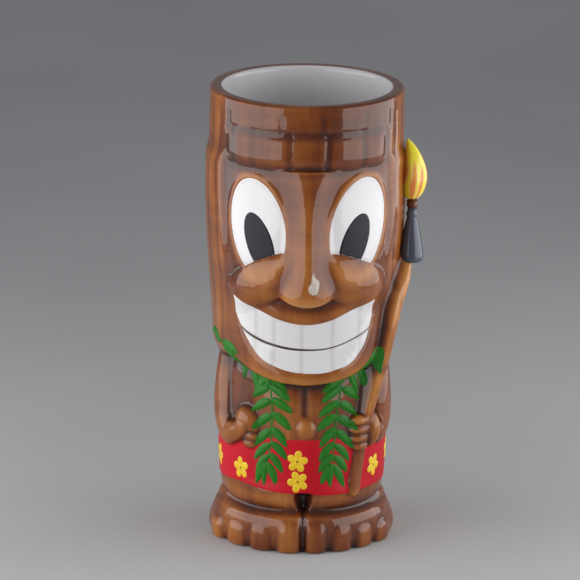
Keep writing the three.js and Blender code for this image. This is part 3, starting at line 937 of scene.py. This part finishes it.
def rim_rings(top):
    """Radius and height of the rings over the rounded rim, from the outside in."""
    outside = [(top - RIM_ROUND * (1 - np.cos(a)), HEIGHT - RIM_ROUND + RIM_ROUND * np.sin(a))
               for a in RIM_STEPS]
    flat = [(top + (INSIDE_RADIUS - top) * share - RIM_ROUND * (1 - share), HEIGHT)
            for share in (0.35, 0.7)]
    inside = [(INSIDE_RADIUS + RIM_ROUND * (1 - np.cos(a)) * 0.8, HEIGHT - 1 + np.sin(a))
              for a in RIM_STEPS[::-1]]
    return outside + flat + inside


def mug_shell():
    """The cast cup: relief outside, a rounded rim, the plain inside and a flat underside."""
    turns = np.concatenate([np.arange(-90, 90, 0.9), np.arange(90, 270, 1.35)])
    turns = (turns + 180) % 360 - 180
    heights = np.arange(0.9, HEIGHT - RIM_ROUND + 0.01, SHELL_STEP)
    heights = np.append(heights, HEIGHT - RIM_ROUND)
    theta, height = np.meshgrid(turns, heights)
    radii = form_radii(theta, height)
    surface = clay(theta, height, radii)
    level = np.max([radii[name] for name in RAISED], 0) + OVERLAP - radii["mug_shell"]
    wall = surface - np.clip(level * DIP_SLOPE, 0, MAX_DIP)
    rim = rim_rings(surface[-1:])

    def rings(rows):
        flat = np.zeros_like(theta[:1])
        return [to_space(theta[:1], flat + z, flat + radius) for radius, z in rows]

    below = rings(UNDERSIDE + [(wall[:1] - 0.7, 0.25)])
    points = np.concatenate(below + [to_space(theta, height, wall)] + rings(rim + WELL))
    first, last = len(below), len(below) + len(heights)
    normals = np.zeros_like(points)
    unwound = np.degrees(np.unwrap(np.radians(theta), axis=1))
    normals[first:last] = surface_normals(unwound, height, surface)
    values = {}
    for key, value in clay_values(theta, height).items():
        values[key] = np.zeros(points.shape[:2])
        values[key][first:last] = value
    values["near"][last:last + len(rim)] = RIM_NEAR
    faces = tube_faces(*points.shape[:2])
    piece = mesh_object("mug_shell_clay", points, faces, normals, values)
    return finish_piece(piece, "mug_shell", BROWN_GLAZE)


def interior_glaze():
    """The white lining of the well, from just over the inner edge of the rim."""
    edge = (INSIDE_RADIUS + 0.8, 179.8)
    wall = [(INSIDE_RADIUS + 0.4, 179.88), (INSIDE_RADIUS - 0.1, 179.3), (INSIDE_RADIUS - 0.35, 178.2),
            (INSIDE_RADIUS - 0.55, 172), (INSIDE_RADIUS - 0.6, 115), (30.6, 86), (26.7, 62),
            (26.7, 10.6), (25.2, 8.2), (22.8, 6.9), (12, 6.8), (AXIS_RADIUS, 6.8)]
    back = [(AXIS_RADIUS, 6.3), (22.9, 6.3), (27, 10.2), (27, 62), (31, 86), (INSIDE_RADIUS - 0.3, 115),
            (INSIDE_RADIUS - 0.2, 176), (INSIDE_RADIUS + 0.3, 178.2)]
    piece = turned_piece("interior_glaze_lining", [*back, edge, *wall], near=0.0)
    return finish_piece(piece, "interior_glaze", WHITE_GLAZE)


# ---- Eyes, teeth and the chip on the nose -------------------------------------------------

MOUTH_TOP = [(-49, 103.2), (-38.5, 100.4), (-28, 97.7), (-15.5, 94.8), (0, 93.3), (14.4, 94.7),
             (26.9, 97.9), (37.3, 100.2), (46.5, 102)]
MOUTH_BOTTOM = [(-48, 98), (-45.9, 95), (-41.6, 90.4), (-36, 85), (-30, 80.5), (-16.4, 76),
                (0, 74.2), (16.6, 75), (32.5, 80), (39.6, 87), (42.6, 93), (45, 98)]
BITE = [(-50, 95.5), (-41.6, 90.4), (-30, 86.4), (-15, 84), (0, 83.2), (14, 83.6), (28, 86),
        (39.8, 89.6), (50, 94.5)]
TOOTH_GAPS = [-31.5, -19.6, -2.4, 16.5, 34.4]


def below_form(theta, height, form, allowance):
    """Distance clear of a raised form that hides what is under it."""
    return 0.6 * (cup(theta, height) - form(theta, height) - allowance)


def mouth_depth(theta, height):
    low, high = along(MOUTH_BOTTOM, theta), along(MOUTH_TOP, theta)
    ends = np.minimum(across(theta, -46.6), -across(theta, 43.8))
    return np.minimum(np.minimum(0.8 * (height - low), 0.95 * (high - height)), ends)


def teeth(side):
    """The row of teeth above (1) or below (-1) the line of the bite."""
    def level(theta, height):
        return np.minimum(mouth_depth(theta, height), side * bite_distance(theta, height) - 0.1)
    return level


def bite_distance(theta, height):
    return height - along(BITE, theta)


def tooth_values(theta, height):
    # Grey at the gaps between the teeth, given as near values: painted shade
    gaps = sum(bell(across(theta, angle), 1.5) for angle in TOOTH_GAPS)
    width = 0.24 + 0.26 * bell(theta + 22, 40)
    line = width - np.abs(bite_distance(theta, height))
    return {"near": 0.22 * gaps + 0.02, "line": line}


def eye_white_level(side):
    hidden = RAISED["left_cheek" if side < 0 else "right_cheek"][0]

    def level(theta, height):
        clear = np.minimum(below_form(theta, height, hidden, 0.7),
                           below_form(theta, height, nose, -0.9))
        return np.minimum(eye_depth(theta, height, side), clear)
    return level


# Angle, middle height, half width, half height and lean of a pupil
PUPIL = (29.2, 125.4, 5.9, 12.2, 20)


def pupil_level(side):
    def level(theta, height):
        angle, middle, half_width, half_height, lean = PUPIL
        s = across(theta, side * angle, HEAD_RADIUS) * side
        inside = oval(s, height - middle, half_width, half_height, lean)
        return np.minimum(inside, eye_white_level(side)(theta, height))
    return level


NOSE_TIP_RADIUS = 42.0
CHIP = [(0.9, 108.2), (0.4, 110.4), (1.9, 112.2), (2.4, 115.2), (3.6, 116.6), (4.6, 114),
        (6.8, 112.6), (6.5, 110.2), (5.4, 107.6), (3, 107.2)]


def chip_depth(theta, height):
    """Distance inside the chip's outline, negative outside."""
    s = across(theta, 0, NOSE_TIP_RADIUS)
    inside = np.zeros(np.shape(theta), bool)
    nearest = np.full(np.shape(theta), 1e9)
    outline = [(math.radians(angle) * NOSE_TIP_RADIUS, z) for angle, z in CHIP]
    for (x0, z0), (x1, z1) in zip(outline, outline[1:] + outline[:1]):
        dx, dz = x1 - x0, z1 - z0
        t = np.clip(((s - x0) * dx + (height - z0) * dz) / (dx * dx + dz * dz), 0, 1)
        nearest = np.minimum(nearest, np.hypot(s - x0 - t * dx, height - z0 - t * dz))
        if dz:
            crossing = x0 + (height - z0) / dz * dx
            inside ^= ((height >= min(z0, z1)) & (height < max(z0, z1)) & (s < crossing))
    return np.where(inside, nearest, -nearest)


def face():
    for label, side in (("left", -1), ("right", 1)):
        angles = (-56, -4) if side < 0 else (4, 56)
        enamel_piece(f"{label}_eye_white", eye_white_level(side), angles, (106, 155),
                     WHITE_GLAZE)
        enamel_piece(f"{label}_pupil", pupil_level(side), angles, (108, 142),
                     BLACK_ENAMEL, thickness=ENAMEL + 0.12, step=0.25)
    for node, side in (("upper_teeth", 1), ("lower_teeth", -1)):
        enamel_piece(node, teeth(side), (-52, 52), (70, 106), TOOTH_GLAZE,
                     thickness=TOOTH, step=0.25, extra=tooth_values)


# ---- Leaves, cloth and flowers ------------------------------------------------------------

LEAF_ARCH = 0.6        # how far the middle of a leaflet bends away from a straight line


class Leaflets:
    """A set of leaflets and a stalk, as one distance."""

    def __init__(self, stalk, half_width=0.45):
        self.stalk, self.half_width, self.leaves = stalk, half_width, []

    def add(self, s, z, angle, length, width):
        """A leaflet from its foot, s and z in millimetres, with its angle from +s."""
        self.leaves.append((s, z, math.radians(angle), length, width))

    def level(self, theta, height):
        s = across(theta, 0)
        depth = self.half_width - to_line(theta, height, self.stalk)[0]
        for x, z, turn, length, width in self.leaves:
            a = (s - x) * math.cos(turn) + (height - z) * math.sin(turn)
            b = (height - z) * math.cos(turn) - (s - x) * math.sin(turn)
            t = np.clip(a / length, 0, 1)
            b = b - math.copysign(LEAF_ARCH, math.cos(turn)) * 4 * t * (1 - t)
            half = width * 2.05 * t**0.5 * (1 - t) ** 0.7
            beyond = np.maximum(-a, a - length)
            leaf = np.where(beyond > 0, -np.hypot(beyond, b), half - np.abs(b))
            depth = np.maximum(depth, leaf)
        return depth


STALKS = {
    -1: [(-25.2, 67), (-22.8, 59), (-23, 50), (-23.2, 42), (-26, 36)],
    1: [(27.2, 66.5), (23.8, 58), (22.2, 50), (20.9, 42), (20.2, 36)],
}
PAIRS = 7


def strand(side):
    """A hanging garland of drooping leaflets in pairs, and three more at its foot."""
    leaves = Leaflets(STALKS[side])
    for k, (turn, z) in enumerate(smooth_line(STALKS[side], PAIRS)):
        x = math.radians(turn) * ARC_RADIUS
        droop = 27 + 5 * k
        uneven = math.sin(2.1 * k + side)
        towards_middle, outwards = -90 + side * (droop - 90), -90 - side * (droop - 90)
        leaves.add(x, z - 0.2, towards_middle + 4 * uneven, 11.2 - 0.25 * k, 2.1)
        leaves.add(x, z - 1.0, outwards - 4 * uneven, 10.6 + 0.5 * uneven, 2.1)
    x, z = math.radians(STALKS[side][-1][0]) * ARC_RADIUS, STALKS[side][-1][1]
    for way in (-124, -96, -66):
        leaves.add(x, z - 0.5, way, 9.6, 1.8)
    return leaves.level


# Angle and height of the foot, direction from +s, length and half width of each leaf along the jaw
COLLARS = {
    "left": [(-79, 83.6, -24, 9.4, 2.2), (-63, 80.4, -10, 11.4, 2.3), (-62, 79.4, -34, 10.4, 2.3),
             (-51, 76.6, -79, 10, 2.1), (-41, 72.4, -67, 10.6, 2.1), (-36, 71.2, -34, 9.4, 2.2),
             (-28.6, 69.2, -126, 9.8, 2.1), (-25.4, 69.4, -30, 9.6, 1.7)],
    "right": [(52.6, 80.4, -95, 10.2, 1.3), (48.6, 80, -106, 10.4, 1.3), (41, 75.6, -76, 11, 1.9),
              (33.6, 71.2, -62, 10, 2.1), (31, 69.6, -157, 12.8, 1.9), (29, 68.2, -172, 9, 1.7)],
}


def collar(label):
    """The leaves that follow the jaw round to the side of the head."""
    rows = COLLARS[label]
    leaves = Leaflets([(angle, z) for angle, z, *_ in rows], 0.35)
    for angle, z, way, length, width in rows:
        leaves.add(math.radians(angle) * ARC_RADIUS, z, way, length, width)
    return leaves.level


def leaves():
    for label, side in (("left", -1), ("right", 1)):
        angles = (-44, -3) if side < 0 else (3, 44)
        enamel_piece(f"lei_strand_{label}", strand(side), angles, (25, 71),
                     GREEN_ENAMEL, thickness=0.55, step=0.24, soft=0.9)
        span = (-84, -8) if side < 0 else (8, 60)
        enamel_piece(f"lei_collar_{label}", collar(label), span, (60, 88),
                     GREEN_ENAMEL, thickness=0.5, step=0.24, soft=0.9)


def sarong_level(theta, height):
    """Between the waist and the hem, and not over the arms, hands or pole."""
    hem = HEM - 1.6 * np.sin(np.radians(theta)) - 0.5 * np.cos(np.radians(theta) * 3)
    hem = hem - 1.6 * ramp(45, 75, -theta)
    waist = WAIST - 5.6 * ramp(20, 90, np.abs(theta))
    depth = np.minimum(height - hem, waist - height)
    radii = form_radii(theta, height)
    body = radii["mug_shell"]
    for name in ("left_arm", "right_arm", "left_hand", "right_hand", "torch_pole"):
        depth = np.minimum(depth, 0.7 * (body + 0.1 - radii[name]))
    return depth


def sarong():
    enamel_piece("sarong", sarong_level, (-180, 180), (18, 50), RED_ENAMEL,
                 thickness=0.25, step=0.36)


FLOWERS = [
    (-4.3, 36.9, 10), (-3.9, 28.6, 40), (-47.8, 31, 25), (57, 31.4, 60), (-79, 32, 0), (84, 34, 15),
    (116, 30, 50), (148, 37, 5), (180, 30, 35), (-148, 36, 20), (-114, 30, 65),
]
PETALS = 5
PETAL_DISTANCE = 2.75
PETAL_RADIUS = 1.72
PETAL_SQUEEZE = 0.88   # a petal is longer than wide
CENTRE_RADIUS = 1.7


def flower(angle, z, turn):
    """Five round petals round a centre."""
    def level(theta, height):
        s, up = across(theta, angle), height - z
        depth = CENTRE_RADIUS - np.hypot(s, up)
        for petal in range(PETALS):
            way = math.radians(turn + petal * 360 / PETALS)
            a = s * math.cos(way) + up * math.sin(way) - PETAL_DISTANCE
            b = up * math.cos(way) - s * math.sin(way)
            depth = np.maximum(depth, PETAL_RADIUS - np.hypot(a * PETAL_SQUEEZE, b))
        return depth
    return level


def from_centre(angle, z):
    return lambda theta, height: {"centre": np.hypot(across(theta, angle), height - z)}


def flowers():
    for index, (angle, z, turn) in enumerate(FLOWERS):
        enamel_piece(f"sarong_flower_{index + 1}", flower(angle, z, turn), (angle - 9, angle + 9),
                     (z - 5.4, z + 5.4), YELLOW_ENAMEL, thickness=0.35, step=0.22,
                     extra=from_centre(angle, z))


# ---- The torch ----------------------------------------------------------------------------

TORCH_ANGLE = 80
TORCH_RADIUS = 42.0
CANISTER_FOOT = 111.3
CANISTER_HEIGHT = 22
FLAME_FOOT = CANISTER_FOOT + 25.3
FLAME_LEAN = -3
CANISTER = [(0, 0), (3, 0), (4.1, 0.3), (4.6, 0.9), (4.8, 2), (4.75, 3.4), (4.45, 5.6), (4.05, 8),
            (3.55, 10.6), (3.0, 13.4), (2.5, 16), (2.0, 18), (2.3, 18.8), (2.3, 19.6),
            (1.9, 20.4), (1.7, CANISTER_HEIGHT), (0, CANISTER_HEIGHT)]
WICK = [(0, 0), (2.0, 0), (2.3, 0.6), (2.1, 1.4), (2.3, 2.2), (2.0, 2.9), (0, 3)]


def placed_on_torch(piece, height, lean=0.0):
    spot = to_space(np.array(TORCH_ANGLE), np.array(height), np.array(TORCH_RADIUS))
    leaned = Matrix.Rotation(math.radians(lean), 4, "Y")
    piece.data.transform(Matrix.Translation(Vector(spot)) @ leaned)
    return piece


def torch():
    canister = placed_on_torch(turned_piece("torch_canister_body", CANISTER, 64), CANISTER_FOOT)
    finish_piece(canister, "torch_canister", CANISTER_PAINTED_REFLECTION)
    stub = turned_piece("torch_wick_stub", WICK, 48, near=0.25, wide=0.2, thin=0.0)
    placed_on_torch(stub, CANISTER_FOOT + CANISTER_HEIGHT)
    finish_piece(stub, "torch_wick", BROWN_GLAZE)
    flame()


FLAME = [(0.02, 0), (2.2, 0.3), (3.6, 2), (4.5, 4.8), (4.9, 8), (4.7, 11.4), (4.0, 15),
         (2.9, 18.6), (1.6, 21.8), (0.6, 23.6), (0.02, 24.2)]
FLAME_LOBES = 5
# Angle round the flame, lowest and highest point and width of each orange brush stroke
FLAME_STROKES = [(-70, 4, 20, 3.4), (-16, -3, 17, 2.2), (24, -2, 14, 1.4), (74, 0, 20, 3.2),
                 (120, 2, 18, 2), (170, 4, 20, 1.8), (-120, 2, 17, 2)]


def flame():
    """A fat tongue of flame with shallow lobes, and brush strokes up its sides."""
    radius, heights = smooth_line(FLAME, 70).T
    turns = np.linspace(-180, 180, 96, endpoint=False)
    theta, height = np.meshgrid(turns, heights)
    lobes = np.cos(np.radians(FLAME_LOBES * (theta + height * 1.2)))
    swell = np.maximum(radius, AXIS_RADIUS)[:, None] * (1 + 0.04 * lobes * bell(height - 12, 13))
    stroke = np.zeros_like(theta)
    for angle, low, high, width in FLAME_STROKES:
        wide = width * bell(height - (low + high) / 2, (high - low) / 2) ** 0.5 + 0.01
        bent = across(theta, angle + 0.9 * (height - low), 4.5)
        stroke = np.maximum(stroke, bell(bent, wide))
    points = to_space(theta, height, swell)
    points[..., 0] += (1.6 * np.sin(height / 8.5) - 1.6 * (height / 25) ** 3) * MM
    faces = tube_faces(*theta.shape)
    piece = mesh_object("torch_flame_tongue", points, faces, None, {"stroke": stroke})
    placed_on_torch(piece, FLAME_FOOT, FLAME_LEAN)
    return finish_piece(piece, "torch_flame", FLAME_ENAMEL)


# ---- Camera, floor and light --------------------------------------------------------------

# Where the camera stands and looks, in metres, its lens in millimetres and its roll in degrees
EYE = Vector((-0.04537, -1.99949, 0.65646))
AIM = Vector((-0.0056, 0.0, 0.09715))
LENS = 328.6
ROLL = 0.80


def camera():
    data = bpy.data.cameras.new("camera")
    data.lens = LENS
    data.clip_end = 100
    made = bpy.data.objects.new("camera", data)
    bpy.context.scene.collection.objects.link(made)
    back = (EYE - AIM).normalized()
    right = Vector((0, 0, 1)).cross(back).normalized()
    up = back.cross(right)
    turn = math.radians(ROLL)
    x = right * math.cos(turn) + up * math.sin(turn)
    y = up * math.cos(turn) - right * math.sin(turn)
    made.matrix_world = Matrix((
        (x.x, y.x, back.x, EYE.x), (x.y, y.y, back.y, EYE.y), (x.z, y.z, back.z, EYE.z),
        (0, 0, 0, 1)))
    bpy.context.scene.camera = made


SOFTBOX_DISTANCE = 0.36
SOFTBOX_HEIGHT = 0.30
SOFTBOX_GAP = 0.01     # between a softbox and the floor


def softbox(name, angle, width, radiance):
    """A low upright panel of light at an angle round the mug."""
    data = bpy.data.lights.new(name, "AREA")
    data.shape = "RECTANGLE"
    data.size, data.size_y = width, SOFTBOX_HEIGHT
    data.energy = radiance * math.pi * width * SOFTBOX_HEIGHT
    made = bpy.data.objects.new(name, data)
    bpy.context.scene.collection.objects.link(made)
    turn = math.radians(angle)
    made.location = (SOFTBOX_DISTANCE * math.sin(turn), -SOFTBOX_DISTANCE * math.cos(turn),
                     SOFTBOX_HEIGHT / 2 + SOFTBOX_GAP)
    made.rotation_euler = (math.pi / 2, 0, turn)
    made.visible_camera = False


def studio():
    bpy.ops.mesh.primitive_circle_add(vertices=96, radius=12, fill_type="NGON")
    floor = bpy.context.object
    floor.name = "floor"
    floor.data.materials.append(floor_paper())
    world = bpy.data.worlds.new("studio")
    world.use_nodes = True
    sky = world.node_tree.nodes["Background"]
    sky.inputs["Color"].default_value = srgb(214, 216, 220)
    sky.inputs["Strength"].default_value = 0.38
    bpy.context.scene.world = world
    bpy.context.scene.view_settings.view_transform = "Standard"
    softbox("left_softbox", -69, 0.63, 2.5)
    softbox("right_softbox", 80, 0.60, 2.5)


# ---- Build --------------------------------------------------------------------------------

camera()
studio()
mug_shell()
interior_glaze()
for form_name in RAISED:
    raised_piece(form_name, FINE_STEP if form_name in FINE_FORMS else RELIEF_STEP)
face()
sarong()
flowers()
leaves()
torch()
